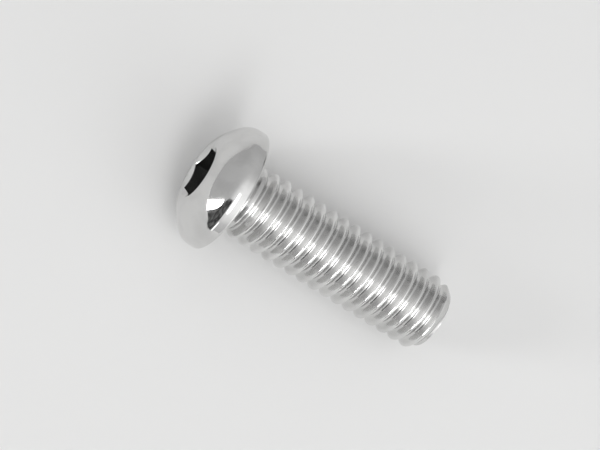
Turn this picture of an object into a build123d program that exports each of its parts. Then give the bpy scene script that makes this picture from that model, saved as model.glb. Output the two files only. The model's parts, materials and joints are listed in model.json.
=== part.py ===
from build123d import *
from math import atan2, ceil, cos, radians, sin, sqrt, tan
import os

# Button head cap screw with a hexagon socket: 5/16 inch by 18 threads to the inch, 1 inch
# long. It is drawn upright on its thread axis, with the seat under the head at height 0 and
# the shank pointing up, and laid down at the end. Millimetres and degrees.

# Thread, Unified coarse, with its crests drawn sharp
inch = 25.4
pitch = inch / 18
major_diameter = 7.8
minor_diameter = 6.2
flank_angle = 30.0              # of each flank, from square to the axis
left_hand = True                # False turns it into the usual right-hand thread
crest_height = 1.381            # of a crest line above the seat, at azimuth 0
# Shank
shank_length = 24.7
neck_diameter = 6.9
neck_height = 0.8               # plain neck under the head, up to where the thread starts
crest_full_height = 2.6         # where the crests reach full diameter
root_full_height = 2.0          # where the roots reach full depth
neck_chamfer = 0.3
point_length = 1.05             # chamfer at the tip, down to the roots

# Head
head_diameter = 13.4
head_height = 3.85
crown_diameter = 8.6            # flat round the socket, before its edge is rounded
dome_radius = 8.75
crown_round = 3.0
shoulder_round = 2.6
rim_chamfer = 0.3

# Hexagon socket
socket_across_flats = 4.8
socket_depth = 2.8
socket_turn = 22.7              # of one corner from azimuth 0
mouth_diameter = 5.85           # countersink over the corners
mouth_angle = 120.0

# Radii and heights that follow from these
crest_radius = major_diameter / 2
root_radius = minor_diameter / 2
neck_radius = neck_diameter / 2
point_height = shank_length - point_length
head_radius = head_diameter / 2
crown_radius = crown_diameter / 2
dome_centre = sqrt(dome_radius**2 - crown_radius**2) - head_height
shoulder_height = dome_centre - sqrt(dome_radius**2 - head_radius**2)
mouth_radius = mouth_diameter / 2
mouth_depth = mouth_radius / tan(radians(mouth_angle / 2))


def corner(radius, height):
    return section.vertices().sort_by_distance((radius, height))[0]


# Core: the head, the neck and the cylinder at the bottom of the thread
with BuildPart() as core:
    with BuildSketch(Plane.XZ) as section:
        with BuildLine():
            Polyline(
                (crown_radius, -head_height),
                (0, -head_height),
                (0, shank_length),
                (root_radius, shank_length),
                (root_radius, root_full_height),
                (neck_radius, neck_height),
                (neck_radius, 0),
                (head_radius, 0),
                (head_radius, shoulder_height),
            )
            RadiusArc((head_radius, shoulder_height), (crown_radius, -head_height), dome_radius)
        make_face()
        fillet(corner(crown_radius, -head_height), crown_round)
        fillet(corner(head_radius, shoulder_height), shoulder_round)
        chamfer(corner(head_radius, 0), rim_chamfer)
        chamfer(corner(neck_radius, 0), neck_chamfer)
    revolve(axis=Axis.Z)

# One turn of the ridge, let into the core a little
ridge_overlap = 0.04
foot_radius = root_radius - ridge_overlap
foot_half_width = (crest_radius - foot_radius) * tan(radians(flank_angle))
with BuildPart() as turn:
    with BuildLine() as helix:
        Helix(pitch, pitch, foot_radius, lefthand=left_hand)
    with BuildSketch(Plane.XZ):
        with BuildLine():
            Polyline(
                (foot_radius, -foot_half_width),
                (crest_radius, 0),
                (foot_radius, foot_half_width),
                close=True,
            )
        make_face()
    sweep(path=helix.line, is_frenet=True)

# Thread: turns end to end, faded out by one cone at the neck and another at the point
first_turn = crest_height - pitch
turn_count = ceil((shank_length - first_turn) / pitch) + 1
with BuildPart() as thread:
    with Locations([(0, 0, first_turn + number * pitch) for number in range(turn_count)]):
        add(turn.part)
    with BuildSketch(Plane.XZ):
        with BuildLine():
            Polyline(
                (foot_radius / 2, neck_height),
                (neck_radius, neck_height),
                (2 * crest_radius - neck_radius, 2 * crest_full_height - neck_height),
                (2 * crest_radius - root_radius, shank_length - 2 * point_length),
                (root_radius, shank_length),
                (foot_radius / 2, shank_length),
                close=True,
            )
        make_face()
    revolve(axis=Axis.Z, mode=Mode.INTERSECT)

# Upright screw, with its socket sunk into the head
with BuildPart() as upright:
    add(core.part)
    add(thread.part)
    with BuildSketch(Plane.XY.offset(-head_height)):
        RegularPolygon(socket_across_flats / 2, 6, major_radius=False, rotation=socket_turn)
    extrude(amount=socket_depth, mode=Mode.SUBTRACT)
    with BuildSketch(Plane.XZ):
        with BuildLine():
            Polyline(
                (0, -head_height),
                (mouth_radius, -head_height),
                (0, mouth_depth - head_height),
                close=True,
            )
        make_face()
    revolve(axis=Axis.Z, mode=Mode.SUBTRACT)

# Laid down: the rim of the head and the last full crest touch the ground, which is height 0.
# Azimuth 0 is then uppermost, and the origin is below the middle of the length.
hand = -1 if left_hand else 1
crest_below = crest_height + hand * pitch / 2
last_crest = crest_below + pitch * ((point_height - crest_below) // pitch)
tilt = atan2(head_radius - crest_radius, last_crest + rim_chamfer)
seat_height = head_radius * cos(tilt) - rim_chamfer * sin(tilt)
lying = Plane((0, 0, seat_height), x_dir=(sin(tilt), 0, cos(tilt)), z_dir=(cos(tilt), 0, -sin(tilt)))
with BuildPart() as laid:
    with Locations(lying.location):
        add(upright.part)
with BuildPart() as screw:
    with Locations((-laid.part.bounding_box().center().X, 0, 0)):
        add(laid.part)

os.makedirs("parts", exist_ok=True)
screw.part.label = "screw"
export_step(screw.part, "parts/screw.step")
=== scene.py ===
import json
from math import pi, radians, tan
import bmesh
import bpy
import numpy as np
from mathutils import Matrix, Vector


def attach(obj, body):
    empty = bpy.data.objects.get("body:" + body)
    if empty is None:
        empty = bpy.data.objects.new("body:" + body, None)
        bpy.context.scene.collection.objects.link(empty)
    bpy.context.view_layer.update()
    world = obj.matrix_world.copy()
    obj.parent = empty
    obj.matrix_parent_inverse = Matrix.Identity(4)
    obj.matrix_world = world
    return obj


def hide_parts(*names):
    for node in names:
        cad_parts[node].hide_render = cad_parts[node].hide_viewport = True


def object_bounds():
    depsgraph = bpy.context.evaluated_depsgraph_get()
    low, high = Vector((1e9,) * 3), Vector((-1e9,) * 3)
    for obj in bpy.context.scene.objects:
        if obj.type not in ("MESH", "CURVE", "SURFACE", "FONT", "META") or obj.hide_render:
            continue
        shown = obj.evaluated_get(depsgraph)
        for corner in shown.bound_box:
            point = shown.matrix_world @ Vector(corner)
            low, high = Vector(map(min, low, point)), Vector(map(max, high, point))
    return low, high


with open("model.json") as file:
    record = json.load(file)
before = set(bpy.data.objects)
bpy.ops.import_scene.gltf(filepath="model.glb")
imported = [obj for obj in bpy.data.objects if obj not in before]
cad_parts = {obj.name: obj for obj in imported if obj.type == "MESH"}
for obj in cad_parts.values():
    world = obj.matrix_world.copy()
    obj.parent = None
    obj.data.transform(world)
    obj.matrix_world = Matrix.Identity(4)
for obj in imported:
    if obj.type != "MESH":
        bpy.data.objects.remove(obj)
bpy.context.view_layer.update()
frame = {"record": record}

millimetre = 0.001
print("frame loaded")

screwSizes = {                      # millimetres, degrees; heights run from the seat to the tip
    "pitch": 25.4 / 18,
    "hand": -1,                     # -1 left-hand thread, 1 right-hand
    "crestRadius": 3.9,
    "rootRadius": 3.1,
    "crestFlat": 25.4 / 18 / 8,     # width of the crest before it is rounded
    "flankAngle": 30.0,             # of each flank, from square to the axis
    "crestRounding": 0.07,
    "rootRounding": 0.16,
    "fadeRounding": 0.08,           # where the crests come out of the neck's cone
    "coreRounding": 0.06,           # where the roots sink out of the neck
    "pointRounding": 0.08,          # where the tip's chamfer cuts the crests
    "crestHeight": 1.381,           # of a crest above the seat on the uppermost side
    "shankLength": 24.7,
    "pointLength": 1.05,
    "tipRounding": 0.07,
    "neckRadius": 3.45,
    "neckHeight": 0.8,
    "neckFillet": 0.35,
    "crestFullHeight": 2.6,
    "rootFullHeight": 2.0,
    "headRadius": 6.6,
    "headHeight": 3.85,
    "crownRound": 3.0,              # radius of curvature from the flat crown,
    "domeRadius": 7.2,              # over the middle of the dome
    "shoulderRound": 1.8,           # and down to the head's side
    "crownTurn": (28.5, 37.5),      # slopes over which the first passes into the second
    "shoulderTurn": (45.5, 53.5),   # and the second into the third
    "rimRound": 0.28,
    "mouthRadius": 2.925,
    "mouthAngle": 120.0,
    "mouthRound": 0.07,
    "socketAcrossFlats": 4.8,
    "socketDepth": 2.8,
    "socketTurn": 22.7,
    "socketEdge": 0.05,
    "stepsRound": 144,              # round the thread
    "headSteps": 192,               # round the head, six times a whole number
    "sharpAngle": 38.0,             # edges that turn by more stay sharp
}
weldDistance = 1e-8                 # metres


def placeOnAxis():
    # where the seat's middle is, and the directions along the screw, uppermost and sideways
    mount = next(m for m in frame["record"]["mounts"] if m["name"] == "under_head_seat")
    along = Vector(mount["axis"]).normalized()
    seat = Vector((mount["pos_m"][0], 0.0, mount["pos_m"][2]))
    upper = Vector((-along.z, 0.0, along.x))
    return seat, along, upper, along.cross(upper)


seatPoint, alongAxis, upperSide, crossSide = placeOnAxis()


def laidDown(radius, azimuth, height):
    # cylinder coordinates of the upright screw to metres as it lies:
    # seat + height along the axis + radius * (cos azimuth * upper + sin azimuth * cross)
    upright = np.stack([radius * np.cos(azimuth), radius * np.sin(azimuth), height], axis=-1)
    turn = np.array([upperSide, crossSide, alongAxis])
    return upright.reshape(-1, 3) @ turn * millimetre + np.array(seatPoint)


def softLower(first, second, rounding):
    # the lower of two heights, with the corner between them rounded
    return (first + second - np.sqrt((first - second) ** 2 + rounding**2)) / 2


def softUpper(first, second, rounding):
    # the upper of two heights, rounded in the same way
    return (first + second + np.sqrt((first - second) ** 2 + rounding**2)) / 2


def threadRadius(across, height):
    # a flat crest, straight flanks and a rounded root across one pitch; the crest rises along
    # a cone from the neck, the root sinks along another, and a chamfer cuts both at the tip
    s = screwSizes
    slope = tan(radians(s["flankAngle"]))
    radius = s["crestRadius"] + (s["crestFlat"] / 2 - np.abs(across)) / slope
    radius = softLower(radius, s["crestRadius"] + 0 * radius, s["crestRounding"])
    radius = softUpper(radius, s["rootRadius"] + 0 * radius, s["rootRounding"])
    rise = (s["crestRadius"] - s["neckRadius"]) / (s["crestFullHeight"] - s["neckHeight"])
    fade = s["neckRadius"] + rise * (height - s["neckHeight"])
    radius = softLower(radius, fade, s["fadeRounding"])
    sink = (s["neckRadius"] - s["rootRadius"]) / (s["rootFullHeight"] - s["neckHeight"])
    core = s["neckRadius"] - sink * np.clip(height - s["neckHeight"], 0, None)
    radius = softUpper(radius, core, s["coreRounding"])
    fall = (s["crestRadius"] - s["rootRadius"]) / s["pointLength"]
    point = s["rootRadius"] + fall * (s["shankLength"] - height)
    return softLower(radius, point, s["pointRounding"])


def acrossPitch():
    # places across one pitch, closest together at the edges of the crest and of the root
    s = screwSizes
    crestEdge = s["crestFlat"] / 2
    rootEdge = crestEdge + (s["crestRadius"] - s["rootRadius"]) * tan(radians(s["flankAngle"]))
    half = np.concatenate([
        [0.0],
        np.linspace(crestEdge - 0.035, crestEdge + 0.05, 5),    # over the edge of the crest
        np.linspace(crestEdge + 0.12, rootEdge - 0.14, 2),      # down the straight flank
        np.linspace(rootEdge - 0.08, rootEdge + 0.07, 4),       # over the edge of the root
        [s["pitch"] / 2],
    ])
    return np.concatenate([-half[:0:-1], half])


def gridFaces(rows, columns, closed):
    # quads between each row of points and the next
    first = np.arange(rows - 1)[:, None] * columns
    last = columns if closed else columns - 1
    here = np.arange(last)[None, :]
    there = (here + 1) % columns
    quads = [first + here, first + there, first + columns + there, first + columns + here]
    return np.stack(quads, axis=-1).reshape(-1, 4)


def fromArrays(points, faces):
    # an editable mesh out of an array of points and one of faces
    mesh = bpy.data.meshes.new("patch")
    mesh.from_pydata(points, [], faces.tolist())
    shape = bmesh.new()
    shape.from_mesh(mesh)
    bpy.data.meshes.remove(mesh)
    return shape


def threadRibbon(neckCut, tipCut):
    # one pitch of the section carried along the helix, so that grid lines follow the crests;
    # it overruns the neck and the tip and is cut square there
    s = screwSizes
    turnsBefore = (neckCut - s["pitch"] / 2 - s["crestHeight"]) / s["pitch"]
    turnsAfter = (tipCut + s["pitch"] / 2 - s["crestHeight"]) / s["pitch"]
    firstStep = int(np.floor(turnsBefore * s["stepsRound"])) - 1
    lastStep = int(np.ceil(turnsAfter * s["stepsRound"])) + 1
    steps = np.arange(firstStep, lastStep + 1)[:, None]
    across = acrossPitch()[None, :]
    azimuth = s["hand"] * steps * 2 * pi / s["stepsRound"] + 0 * across
    height = s["crestHeight"] + s["pitch"] * steps / s["stepsRound"] + across
    radius = threadRadius(across, height)
    points = laidDown(radius, azimuth, height)
    shape = fromArrays(points, gridFaces(steps.shape[0], across.shape[1], False))
    bmesh.ops.remove_doubles(shape, verts=shape.verts, dist=weldDistance)
    for cut, side in ((neckCut, -1), (tipCut, 1)):
        place = seatPoint + alongAxis * cut * millimetre
        bmesh.ops.bisect_plane(
            shape, geom=shape.verts[:] + shape.edges[:] + shape.faces[:], dist=weldDistance,
            plane_co=place, plane_no=alongAxis * side, clear_outer=True)
    return shape


def arcPoints(centre, radius, start, end, count):
    # points of an arc in the half plane of (radius, height): centre radius + arc radius * sine of
    # the angle, centre height - arc radius * cosine; 0 degrees faces the crown, 90 faces outwards
    angle = np.linspace(radians(start), radians(end), count)
    return np.stack([centre[0] + radius * np.sin(angle),
                     centre[1] - radius * np.cos(angle)], axis=-1)


def domePoints():
    # the dome from the head's side to the flat crown: its radius of curvature is a smooth function
    # of its slope, and radius and height are the sums of curvature radius * cosine and * sine of
    # the slope over small steps of slope, of which every thirtieth gives a point
    s = screwSizes
    stretches, stepsBetween = 60, 30
    slope = np.linspace(0, 90, stretches * stepsBetween + 1)

    def passed(limits):
        # 0 up to the first limit and 1 from the second; between them 3 share^2 - 2 share^3
        share = np.clip((slope - limits[0]) / (limits[1] - limits[0]), 0, 1)
        return share * share * (3 - 2 * share)

    dome, shoulder = passed(s["crownTurn"]), passed(s["shoulderTurn"])
    curve = s["crownRound"] + (s["domeRadius"] - s["crownRound"]) * dome
    curve += (s["shoulderRound"] - s["domeRadius"]) * shoulder
    step = radians(slope[1])
    radius = np.cumsum(curve * np.cos(np.radians(slope))) * step
    height = np.cumsum(curve * np.sin(np.radians(slope))) * step
    points = np.stack([radius - radius[-1] + s["headRadius"],
                       height - height[0] - s["headHeight"]], axis=-1)
    return points[::-stepsBetween]


def headProfile():
    # radius and height from the neck over the seat, the rim and the dome to the socket's mouth
    s = screwSizes
    margin = 0.03                   # from the end of an arc to the next ring, to keep flats flat
    neckCentre = (s["neckRadius"] + s["neckFillet"], s["neckFillet"])
    rimCentre = (s["headRadius"] - s["rimRound"], -s["rimRound"])
    dome = domePoints()
    mouthSlope = 90 - s["mouthAngle"] / 2
    mouthCentre = (s["mouthRadius"] + s["mouthRound"] * tan(radians(mouthSlope / 2)),
                   s["mouthRound"] - s["headHeight"])
    parts = [
        [(s["neckRadius"], s["neckFillet"] + margin)],
        arcPoints(neckCentre, s["neckFillet"], 270, 360, 9),
        [(neckCentre[0] + margin, 0), (rimCentre[0] - margin, 0)],
        arcPoints(rimCentre, s["rimRound"], 180, 90, 9),
        [(s["headRadius"], rimCentre[1] - margin), (s["headRadius"], dome[0, 1] + margin)],
        dome,
        [((mouthCentre[0] + dome[-1, 0]) / 2, -s["headHeight"])],
        arcPoints(mouthCentre, s["mouthRound"], 0, -mouthSlope, 5),
    ]
    return np.concatenate([np.array(part, dtype=float) for part in parts])


def headRows():
    # the profile turned round the axis, then the countersink narrowing to the hexagon, the
    # hexagon's walls and its floor; the hexagon's radius is half its width over the cosine of
    # the angle from the nearest flat's middle
    s = screwSizes
    azimuth = radians(s["socketTurn"]) + np.arange(s["headSteps"]) * 2 * pi / s["headSteps"]
    profile = headProfile()
    radius = profile[:, :1] + 0 * azimuth[None, :]
    height = profile[:, 1:] + 0 * azimuth[None, :]
    fromCorner = np.mod(azimuth - radians(s["socketTurn"]), pi / 3)
    hexagon = s["socketAcrossFlats"] / 2 / np.cos(fromCorner - pi / 6)
    slope = tan(radians(90 - s["mouthAngle"] / 2))
    mouthEnd, mouthFloor = profile[-1]
    share = np.array([0.04, 0.3, 0.6, 0.96, 1.0])[:, None]          # rings, closest at the edges
    coneRadius = mouthEnd + share * (hexagon + s["socketEdge"] - mouthEnd)
    coneHeight = mouthFloor + (mouthEnd - coneRadius) * slope
    edgeHeight = coneHeight[-1] + s["socketEdge"]
    floorHeight = s["socketDepth"] - s["headHeight"]
    share = np.array([0.0, 0.03, 0.35, 0.7, 0.97, 1.0])[:, None]
    wallHeight = edgeHeight + share * (floorHeight - edgeHeight)
    wallRadius = hexagon + 0 * wallHeight
    share = np.array([0.97, 0.75, 0.5, 0.25])[:, None]
    floorRadius = hexagon * share
    radius = np.concatenate([radius, coneRadius, wallRadius, floorRadius])
    height = np.concatenate([height, coneHeight, wallHeight, floorHeight + 0 * floorRadius])
    return radius, height, azimuth + 0 * radius


def closedRows(radius, azimuth, height, poleHeight):
    # rows of points joined to the next, and the last one closed by a fan to a point on the axis
    rows, columns = radius.shape
    points = np.concatenate([laidDown(radius, azimuth, height),
                             laidDown(np.zeros(1), np.zeros(1), np.array([poleHeight]))])
    shape = fromArrays(points, gridFaces(rows, columns, True))
    shape.verts.ensure_lookup_table()
    last = shape.verts[(rows - 1) * columns:rows * columns]
    for here, there in zip(last, last[1:] + last[:1]):
        shape.faces.new((here, there, shape.verts[rows * columns]))
    return shape


def openEdges(shape, height):
    # the open edges at one height along the axis
    place = seatPoint + alongAxis * height * millimetre
    nearby = 2e-6                   # metres
    return [edge for edge in shape.edges if edge.is_boundary and all(
        abs((v.co - place).dot(alongAxis)) < nearby for v in edge.verts)]


def buildScrew():
    # the thread, the head with its socket and the tip's end, joined at two rings of open edges
    s = screwSizes
    overrun = 0.15                  # of the thread's section down the plain neck
    neckCut = s["neckHeight"] - overrun
    tipCut = s["shankLength"] - s["tipRounding"]
    shape = threadRibbon(neckCut, tipCut)
    print("thread ribbon:", len(shape.faces), "faces")
    radius, height, azimuth = headRows()
    head = closedRows(radius, azimuth, height, s["socketDepth"] - s["headHeight"])
    edge = s["tipRounding"]
    around = np.arange(s["headSteps"])[None, :] * 2 * pi / s["headSteps"]
    inwards = np.array([0.0, -0.4, -1, -1.4])[:, None]              # rings over the rounded edge,
    onwards = np.array([-0.3, -0.08, 0, 0])[:, None]                # in shares of its radius
    tipRadius = s["rootRadius"] + inwards * edge + 0 * around
    tipHeight = s["shankLength"] + onwards * edge + 0 * around
    tip = closedRows(tipRadius, around + 0 * tipRadius, tipHeight, s["shankLength"])
    for other in (head, tip):
        mesh = bpy.data.meshes.new("patch")
        other.to_mesh(mesh)
        shape.from_mesh(mesh)
        bpy.data.meshes.remove(mesh)
        other.free()
    for first, second in ((neckCut, height[0, 0]), (tipCut, tipHeight[0, 0])):
        rims = openEdges(shape, first) + openEdges(shape, second)
        bmesh.ops.bridge_loops(shape, edges=rims)
    bmesh.ops.recalc_face_normals(shape, faces=shape.faces)
    mesh = bpy.data.meshes.new("button_head_screw")
    shape.to_mesh(mesh)
    openCount = sum(edge.is_boundary for edge in shape.edges)
    shape.free()
    mesh.polygons.foreach_set("use_smooth", np.ones(len(mesh.polygons), dtype=bool))
    mesh.set_sharp_from_angle(angle=radians(s["sharpAngle"]))
    piece = bpy.data.objects.new("button_head_screw", mesh)
    bpy.context.scene.collection.objects.link(piece)
    print("screw:", len(mesh.polygons), "faces,", openCount, "open edges")
    return piece


screw = buildScrew()
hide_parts("screw")
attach(screw, "root")


chromeFinish = {                    # places and sizes are in millimetres
    "headTone": 0.69,               # share of light given back by the head
    "threadTone": 0.77,             # by the rolled thread and the neck
    "socketPaintedShade": 0.45,             # inside the broached socket, drawn darker as painted shade
    "tint": (1.0, 0.998, 0.99),
    "rootPaintedShade": 0.11,               # painted shade: how much darker the thread's root and flanks are drawn
    "headRoughness": 0.07,
    "threadRoughness": 0.12,
    "rootRoughness": 0.06,          # added in the thread's root
    "socketRoughness": 0.1,         # added in the socket
    "shankHeights": (0.05, 0.5),    # over which the head's finish passes into the shank's
    "rootDistances": (3.5, 3.88),   # from the axis, from the root's full effect to none
    "socketDistances": (2.8, 2.9),
    "mouthHeights": (-3.6, -3.45),
    "bottomHeights": (-0.9, -0.7),
    "hazeTone": 0.07,               # how much cloudy patches in the plating darken it
    "hazeRoughness": 0.05,
    "hazeSize": 2.2,
    "hazeDetail": 4.0,
    "hazeRange": (0.38, 0.68),      # of the noise that makes the patches
    "rollingSize": 0.5,             # between the lines left by rolling the thread
    "rollingDetail": 1.5,
    "rollingStretch": (0.22, 0.22, 1.0),
    "rollingDepth": 0.002,
    "peelSize": 0.9,                # of the gentle unevenness of the head
    "peelDetail": 2.0,
    "peelDepth": 0.0012,
}


def addNode(nodes, kind, links=(), tree=None, **settings):
    # a node with its settings, each of its inputs either linked or set to a value
    node = nodes.new(kind)
    for name, value in settings.items():
        setattr(node, name, value)
    for place, source in links:
        if hasattr(source, "node"):
            tree.links.new(source, node.inputs[place])
        else:
            node.inputs[place].default_value = source
    return node


def makeScrewPlaceGroup():
    # height along the axis and distance from it, in millimetres, out of the object's coordinates:
    # height = (point - seat) . axis; distance = length of (point - seat) x axis
    tree = bpy.data.node_groups.new("screw_place", "ShaderNodeTree")
    tree.interface.new_socket("Point", in_out="INPUT", socket_type="NodeSocketVector")
    tree.interface.new_socket("Height", in_out="OUTPUT", socket_type="NodeSocketFloat")
    tree.interface.new_socket("Distance", in_out="OUTPUT", socket_type="NodeSocketFloat")
    tree.interface.new_socket("Upright", in_out="OUTPUT", socket_type="NodeSocketVector")
    nodes = tree.nodes
    given = nodes.new("NodeGroupInput")
    result = nodes.new("NodeGroupOutput")

    def vectorMath(operation, first, second):
        return addNode(nodes, "ShaderNodeVectorMath", ((0, first), (1, second)), tree,
                       operation=operation)

    offset = vectorMath("SUBTRACT", given.outputs["Point"], tuple(seatPoint)).outputs["Vector"]
    scaled = vectorMath("MULTIPLY", offset, 3 * (1 / millimetre,)).outputs["Vector"]
    height = vectorMath("DOT_PRODUCT", scaled, tuple(alongAxis)).outputs["Value"]
    above = vectorMath("DOT_PRODUCT", scaled, tuple(upperSide)).outputs["Value"]
    beside = vectorMath("DOT_PRODUCT", scaled, tuple(crossSide)).outputs["Value"]
    across = vectorMath("CROSS_PRODUCT", scaled, tuple(alongAxis)).outputs["Vector"]
    length = addNode(nodes, "ShaderNodeVectorMath", ((0, across),), tree, operation="LENGTH")
    upright = addNode(nodes, "ShaderNodeCombineXYZ", (("X", above), ("Y", beside), ("Z", height)), tree)
    tree.links.new(height, result.inputs["Height"])
    tree.links.new(length.outputs["Value"], result.inputs["Distance"])
    tree.links.new(upright.outputs["Vector"], result.inputs["Upright"])
    return tree


def makePlatingGroup():
    # tone, roughness and small relief of the plating: polished over the head, satin with fine
    # # lines round the rolled thread, dull in its roots and in the socket, which painted shade also
    # darkens
    c = chromeFinish
    tree = bpy.data.node_groups.new("plating", "ShaderNodeTree")
    for name in ("Tone", "Roughness"):
        tree.interface.new_socket(name, in_out="OUTPUT", socket_type="NodeSocketFloat")
    tree.interface.new_socket("Normal", in_out="OUTPUT", socket_type="NodeSocketVector")
    nodes, links = tree.nodes, tree.links
    result = nodes.new("NodeGroupOutput")
    coordinates = nodes.new("ShaderNodeTexCoord")
    place = nodes.new("ShaderNodeGroup")
    place.node_tree = makeScrewPlaceGroup()
    links.new(coordinates.outputs["Object"], place.inputs["Point"])
    height, distance, upright = (place.outputs[name] for name in ("Height", "Distance", "Upright"))

    def ramp(value, limits, first=0.0, last=1.0):
        node = addNode(nodes, "ShaderNodeMapRange", (
            ("Value", value), ("From Min", limits[0]), ("From Max", limits[1]),
            ("To Min", first), ("To Max", last)), tree, interpolation_type="SMOOTHSTEP")
        return node.outputs["Result"]

    def falling(value, limits):
        return ramp(value, limits, 1.0, 0.0)

    def calculate(operation, first, second, third=0.0):
        node = addNode(nodes, "ShaderNodeMath", ((0, first), (1, second), (2, third)), tree,
                       operation=operation)
        return node.outputs["Value"]

    def noise(vector, size, detail):
        node = addNode(nodes, "ShaderNodeTexNoise", (
            ("Vector", vector), ("Scale", 1 / size), ("Detail", detail)), tree)
        return node.outputs["Fac"]

    onShank = ramp(height, c["shankHeights"])
    inRoot = calculate("MULTIPLY", onShank, falling(distance, c["rootDistances"]))
    belowMouth = ramp(height, c["mouthHeights"])
    inSocket = calculate("MULTIPLY", falling(distance, c["socketDistances"]), belowMouth)
    inSocket = calculate("MULTIPLY", inSocket, falling(height, c["bottomHeights"]))
    haze = ramp(noise(upright, c["hazeSize"], c["hazeDetail"]), c["hazeRange"])

    tone = calculate("MULTIPLY_ADD", onShank, c["threadTone"] - c["headTone"], c["headTone"])
    # painted shade: the socket drawn darker than the head
    tone = calculate("MULTIPLY_ADD", inSocket, c["socketPaintedShade"] - c["headTone"], tone)
    tone = calculate("MULTIPLY_ADD", haze, -c["hazeTone"], tone)
    # painted shade: the thread drawn darker below its crests, down into the root
    tone = calculate("MULTIPLY_ADD", inRoot, -c["rootPaintedShade"], tone)
    rougher = c["threadRoughness"] - c["headRoughness"]
    roughness = calculate("MULTIPLY_ADD", onShank, rougher, c["headRoughness"])
    roughness = calculate("MULTIPLY_ADD", inRoot, c["rootRoughness"], roughness)
    roughness = calculate("MULTIPLY_ADD", haze, c["hazeRoughness"], roughness)
    roughness = calculate("MULTIPLY_ADD", inSocket, c["socketRoughness"], roughness)

    drawnOut = addNode(nodes, "ShaderNodeVectorMath", (
        (0, upright), (1, c["rollingStretch"])), tree, operation="MULTIPLY")
    lines = noise(drawnOut.outputs["Vector"], c["rollingSize"], c["rollingDetail"])
    rolling = calculate("MULTIPLY", lines, onShank)
    peel = calculate("SUBTRACT", 1.0, onShank)
    peel = calculate("MULTIPLY", noise(upright, c["peelSize"], c["peelDetail"]), peel)
    relief = calculate("MULTIPLY", rolling, c["rollingDepth"] * millimetre)
    relief = calculate("MULTIPLY_ADD", peel, c["peelDepth"] * millimetre, relief)
    bump = addNode(nodes, "ShaderNodeBump", (
        ("Strength", 1.0), ("Distance", 1.0), ("Height", relief)), tree)
    links.new(tone, result.inputs["Tone"])
    links.new(roughness, result.inputs["Roughness"])
    links.new(bump.outputs["Normal"], result.inputs["Normal"])
    return tree


def makeChrome():
    # a mirror of the plating's tone, roughness and relief
    material = bpy.data.materials.new("bright_plating")
    material.use_nodes = True
    tree = material.node_tree
    shader = tree.nodes["Principled BSDF"]
    plating = tree.nodes.new("ShaderNodeGroup")
    plating.node_tree = makePlatingGroup()
    colour = addNode(tree.nodes, "ShaderNodeVectorMath", (
        (0, chromeFinish["tint"]), ("Scale", plating.outputs["Tone"])), tree, operation="SCALE")
    tree.links.new(colour.outputs["Vector"], shader.inputs["Base Color"])
    tree.links.new(plating.outputs["Roughness"], shader.inputs["Roughness"])
    tree.links.new(plating.outputs["Normal"], shader.inputs["Normal"])
    shader.inputs["Metallic"].default_value = 1.0
    return material


screw.data.materials.append(makeChrome())
print("plating ready")

studio = {
    "floorColour": (0.76, 0.76, 0.756, 1.0),
    "floorRoughness": 0.9,
    "floorSize": 4.0,                           # metres
    "backdropColour": (0.9, 0.9, 0.895, 1.0),
    "tentRadius": 1.0,
    "tentFoot": -2.0,                           # degrees, so that it ends below the floor
    "tentSteps": (96, 32),                      # round and up
    "panelSteps": 16,
    "panelRadius": 0.98,                        # of the first panel, as a share of the tent's,
    "panelSpacing": 0.01,                       # and how much smaller each next one is
    "tentTowards": (0.36, -0.36, 0.86),         # where the cloth is brightest
    # brightness of the cloth by how far it is turned that way, from -1 to 1
    "tentLevels": ((-0.6, 0.5), (0.0, 0.55), (0.3, 0.57), (0.55, 0.6), (0.7, 0.72),
                   (0.8, 0.91), (0.88, 1.04), (1.0, 1.25)),
    # the opening's mottling: noise scale, the range of noise used and the share of light at its ends
    "mottleScale": 7.0,
    "mottleDetail": 4.0,
    "mottleRange": (0.42, 0.62),
    "mottleLight": (0.4, 2.2),
}

# panels of the tent: corners as (azimuth, elevation) seen from the screw, the light they give
# and the share of their half width over which their edges fade
tentPanels = {
    "opening": (((210.5, -2), (270, -2), (261, 68), (214, 54)), 0.09, 0.08),
    "dark_corner": (((40, -2), (71, -2), (70, 27), (44, 27)), 0.08, 0.9),
    "tip_light": (((302, -2), (362, -2), (358, 56), (309, 58)), 1.5, 0.5),
    "side_light": (((199, -2), (210.5, -2), (213, 31), (202, 30)), 12.5, 0.12),
    "edge_light": (((270.5, -2), (276, -2), (278, 24), (272.5, 24)), 3.0, 0.5),
    "top_light": (((275, 40), (292, 37), (342, 70), (304, 83)), 6.5, 0.4),
}


def emitter(name, strength):
    # a material that only gives light, and the node that gives it
    material = bpy.data.materials.new(name)
    material.use_nodes = True
    nodes, links = material.node_tree.nodes, material.node_tree.links
    nodes.clear()
    glow = nodes.new("ShaderNodeEmission")
    glow.inputs["Strength"].default_value = strength
    output = nodes.new("ShaderNodeOutputMaterial")
    links.new(glow.outputs["Emission"], output.inputs["Surface"])
    return material, glow


def direction(azimuth, elevation):
    # unit vector of a direction seen from the screw
    return np.stack([np.cos(elevation) * np.cos(azimuth),
                     np.cos(elevation) * np.sin(azimuth), np.sin(elevation) + 0 * azimuth], axis=-1)


def addCloth(name, points, material, inset=None):
    # a sheet of the studio through a grid of points, which the camera looks through
    rows, columns = points.shape[:2]
    mesh = bpy.data.meshes.new(name)
    mesh.from_pydata(points.reshape(-1, 3), [], gridFaces(rows, columns, False).tolist())
    mesh.materials.append(material)
    if inset is not None:
        mesh.attributes.new("inset", "FLOAT", "POINT").data.foreach_set("value", inset)
    cloth = bpy.data.objects.new(name, mesh)
    bpy.context.scene.collection.objects.link(cloth)
    cloth.visible_camera = False


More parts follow.
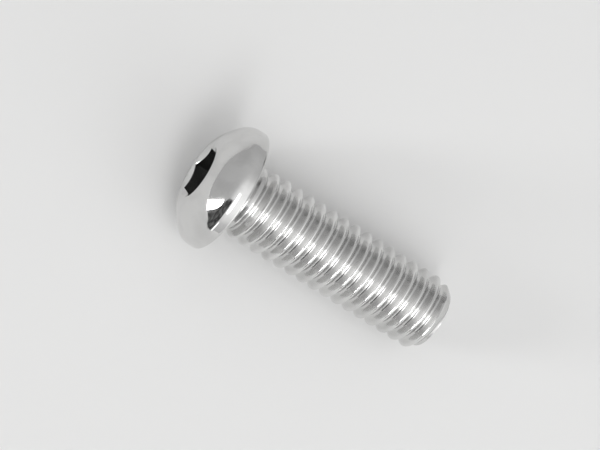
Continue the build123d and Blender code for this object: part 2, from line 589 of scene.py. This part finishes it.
def makeTent():
    # the cloth is a dome, its brightness follows the dot product of the place with the brightest
    # direction; each panel is four corners blended by equal shares and pushed out to a sphere
    # just inside the dome
    t = studio
    material, glow = emitter("tent_cloth", 1.0)
    tree = material.node_tree
    place = tree.nodes.new("ShaderNodeTexCoord")
    brightest = Vector(t["tentTowards"]).normalized()
    turned = addNode(tree.nodes, "ShaderNodeVectorMath", (
        (0, place.outputs["Object"]), (1, brightest)), tree, operation="DOT_PRODUCT")
    scaled = addNode(tree.nodes, "ShaderNodeMapRange", (
        ("Value", turned.outputs["Value"]),
        ("From Min", -t["tentRadius"]), ("From Max", t["tentRadius"])), tree)
    ramp = addNode(tree.nodes, "ShaderNodeValToRGB", (("Fac", scaled.outputs["Result"]),), tree)
    while len(ramp.color_ramp.elements) < len(t["tentLevels"]):
        ramp.color_ramp.elements.new(0.5)
    for stop, (where, level) in zip(ramp.color_ramp.elements, t["tentLevels"]):
        stop.position = (where + 1) / 2
        stop.color = (level, level, level, 1.0)
    tree.links.new(ramp.outputs["Color"], glow.inputs["Color"])
    stepsRound, stepsUp = t["tentSteps"]
    azimuth = np.linspace(0, 2 * pi, stepsRound + 1)[:, None]
    elevation = np.linspace(radians(t["tentFoot"]), pi / 2, stepsUp + 1)[None, :]
    dome = t["tentRadius"] * direction(azimuth + 0 * elevation, elevation + 0 * azimuth)
    addCloth("tent", dome, material)
    u = np.linspace(0, 1, t["panelSteps"] + 1)[:, None, None]
    v = np.linspace(0, 1, t["panelSteps"] + 1)[None, :, None]
    for number, (name, (corners, strength, fade)) in enumerate(tentPanels.items()):
        corner = direction(*np.radians(np.array(corners, dtype=float)).T)
        points = ((1 - u) * (1 - v) * corner[0] + u * (1 - v) * corner[1]
                  + u * v * corner[2] + (1 - u) * v * corner[3])
        size = (t["panelRadius"] - t["panelSpacing"] * number) * t["tentRadius"]
        points *= size / np.linalg.norm(points, axis=-1, keepdims=True)
        footFade = 1.0 if corners[0][1] <= 0 else 0.0               # none where it meets the floor
        inset = 2 * np.minimum(np.minimum(u, 1 - u), np.minimum(v + footFade, 1 - v))
        addCloth(name, points, panelMaterial(name, strength, fade), inset.reshape(-1))


def panelMaterial(name, strength, fade):
    # glows inside and turns clear towards the edges; the opening shows a mottled room behind it
    material, glow = emitter(name, strength)
    tree = material.node_tree
    if name == "opening":
        low, high = studio["mottleRange"]
        darkest, lightest = studio["mottleLight"]
        room = addNode(tree.nodes, "ShaderNodeTexNoise", (
            ("Scale", studio["mottleScale"]), ("Detail", studio["mottleDetail"])))
        mottled = addNode(tree.nodes, "ShaderNodeMapRange", (
            ("Value", room.outputs["Fac"]), ("From Min", low), ("From Max", high),
            ("To Min", darkest * strength), ("To Max", lightest * strength)),
            tree, interpolation_type="SMOOTHSTEP")
        tree.links.new(mottled.outputs["Result"], glow.inputs["Strength"])
    inset = addNode(tree.nodes, "ShaderNodeAttribute", attribute_name="inset")
    share = addNode(tree.nodes, "ShaderNodeMapRange", (
        ("Value", inset.outputs["Fac"]), ("From Min", 0.0), ("From Max", fade)),
        tree, interpolation_type="SMOOTHSTEP")
    clear = tree.nodes.new("ShaderNodeBsdfTransparent")
    mix = addNode(tree.nodes, "ShaderNodeMixShader", (
        (0, share.outputs["Result"]), (1, clear.outputs["BSDF"]), (2, glow.outputs["Emission"])), tree)
    output = next(node for node in tree.nodes if node.bl_idname == "ShaderNodeOutputMaterial")
    tree.links.new(mix.outputs["Shader"], output.inputs["Surface"])
    return material


def makeFloor():
    # a plain square under the lowest point of the screw
    f = studio
    half = f["floorSize"] / 2
    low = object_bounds()[0][2]
    mesh = bpy.data.meshes.new("floor")
    corners = [(-half, -half, low), (half, -half, low), (half, half, low), (-half, half, low)]
    mesh.from_pydata(corners, [], [(0, 1, 2, 3)])
    floor = bpy.data.objects.new("floor", mesh)
    bpy.context.scene.collection.objects.link(floor)
    material = bpy.data.materials.new("pale_floor")
    material.use_nodes = True
    shader = material.node_tree.nodes["Principled BSDF"]
    shader.inputs["Base Color"].default_value = f["floorColour"]
    shader.inputs["Roughness"].default_value = f["floorRoughness"]
    shader.inputs["Specular IOR Level"].default_value = 0.0
    mesh.materials.append(material)


def makeWorld():
    # what the camera sees where the floor ends
    world = bpy.data.worlds.new("studio")
    bpy.context.scene.world = world
    world.use_nodes = True
    background = world.node_tree.nodes["Background"]
    background.inputs["Color"].default_value = studio["backdropColour"]


makeFloor()
makeTent()
makeWorld()
print("studio ready")

cameraView = {                      # metres and degrees
    "eye": (-0.078067, -0.084787, 0.388305),
    "aim": (-0.002669, 0.000666, 0.0066),
    "roll": 70.931,
    "lens": 243.15,
    "sensor": 36.0,                 # width, like the lens in millimetres
    "clip": (0.01, 20.0),
}


def makeCamera():
    # looks from the eye to the aim and is then rolled about its own line of sight
    c = cameraView
    data = bpy.data.cameras.new("camera")
    data.lens = c["lens"]
    data.sensor_width = c["sensor"]
    data.sensor_fit = "HORIZONTAL"
    data.clip_start, data.clip_end = c["clip"]
    camera = bpy.data.objects.new("camera", data)
    eye, aim = Vector(c["eye"]), Vector(c["aim"])
    turn = (aim - eye).to_track_quat("-Z", "Y").to_matrix().to_4x4()
    roll = Matrix.Rotation(radians(c["roll"]), 4, "Z")
    camera.matrix_world = Matrix.Translation(eye) @ turn @ roll
    bpy.context.scene.collection.objects.link(camera)
    bpy.context.scene.camera = camera


makeCamera()
bpy.context.scene.view_settings.view_transform = "Standard"
print("camera ready")
